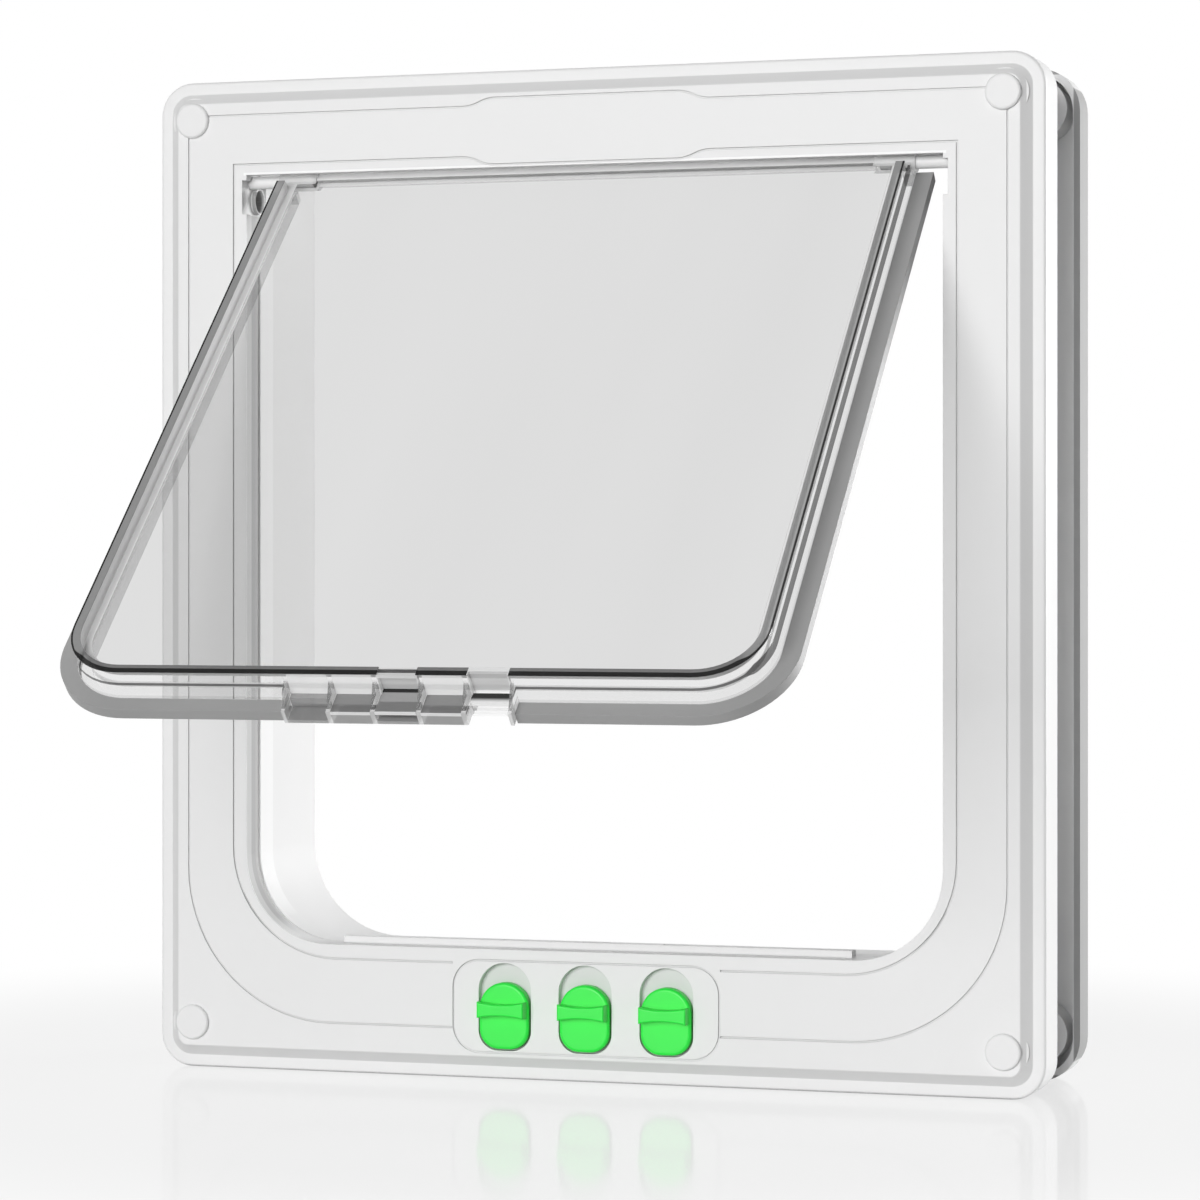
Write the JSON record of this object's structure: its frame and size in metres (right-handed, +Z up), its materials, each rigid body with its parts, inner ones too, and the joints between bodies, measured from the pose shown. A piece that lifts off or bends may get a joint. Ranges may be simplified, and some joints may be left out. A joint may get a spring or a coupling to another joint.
{
  "type": "cat flap",
  "caption": "Door-mounted cat flap: white front and rear frames with sleeves round a passage, a clear top-hinged flap with a grey edge seal, and green sliding locks under the sill.",
  "frame": {"origin": "centre of the passage on the face of the front frame that bears on the door", "axes": "+X to the right seen from the front, +Y from the front frame through the door to the rear frame, +Z up; the flap stands open towards -Y"},
  "size_m": [0.2304, 0.182, 0.25],
  "materials": {
    "white_plastic": "satin white moulding",
    "clear_plastic": "clear, polished",
    "seal_grey": "satin grey",
    "green_plastic": "bright green, semi-gloss",
    "steel": "plain steel"
  },
  "bodies": {
    "frame": {"front_frame": "white_plastic", "rear_frame": "white_plastic", "lock_cover": "white_plastic", "lock_cover_screws": "steel", "frame_screws": "steel", "screw_cap_top_left": "white_plastic", "screw_cap_top_right": "white_plastic", "screw_cap_bottom_left": "white_plastic", "screw_cap_bottom_right": "white_plastic"},
    "flap": {"flap": "clear_plastic", "flap_seal_left": "seal_grey", "flap_seal_right": "seal_grey", "pivot_pin_left": "white_plastic", "pivot_pin_right": "white_plastic"},
    "lock_left": {"lock_button_left": "green_plastic", "lock_bolt_left": "white_plastic"},
    "lock_centre": {"lock_button_centre": "green_plastic", "lock_bolt_centre": "white_plastic"},
    "lock_right": {"lock_button_right": "green_plastic", "lock_bolt_right": "white_plastic"}
  },
  "joints": [
    {"name": "flap_swing", "type": "hinge", "parent": "frame", "child": "flap", "pos_m": [0, -0.0104, 0.0952], "axis": [-1, 0, 0], "range_deg": [-116.9, 23.1]},
    {"name": "lock_left_slide", "type": "slide", "parent": "frame", "child": "lock_left", "axis": [0, 0, 1], "range_m": [0, 0.0045]},
    {"name": "lock_centre_slide", "type": "slide", "parent": "frame", "child": "lock_centre", "axis": [0, 0, 1], "range_m": [0, 0.0045]},
    {"name": "lock_right_slide", "type": "slide", "parent": "frame", "child": "lock_right", "axis": [0, 0, 1], "range_m": [0, 0.0045]}
  ]
}
